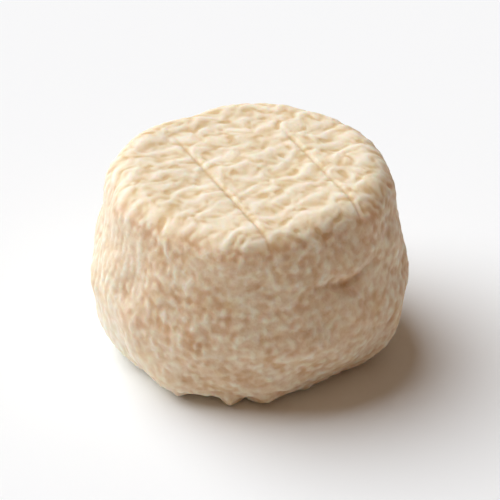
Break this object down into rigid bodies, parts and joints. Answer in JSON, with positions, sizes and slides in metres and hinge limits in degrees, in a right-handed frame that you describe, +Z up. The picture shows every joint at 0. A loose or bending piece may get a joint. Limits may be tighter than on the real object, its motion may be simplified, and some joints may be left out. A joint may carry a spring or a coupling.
{
  "type": "crottin goat cheese",
  "caption": "Small whole goat cheese, a low uneven drum with a wrinkled cream rind and straight drying-rack marks on its flat top.",
  "frame": {"origin": "middle of the flat foot, under the centre of the bounding box", "axes": "+Z up through the cheese's axis, -Y towards the corner of the rim that faces the viewer"},
  "size_m": [0.0588, 0.059, 0.0371],
  "materials": {
    "rind": "matte, slightly translucent bloomy rind"
  },
  "bodies": {
    "root": {"crottin": "rind"}
  },
  "joints": []
}
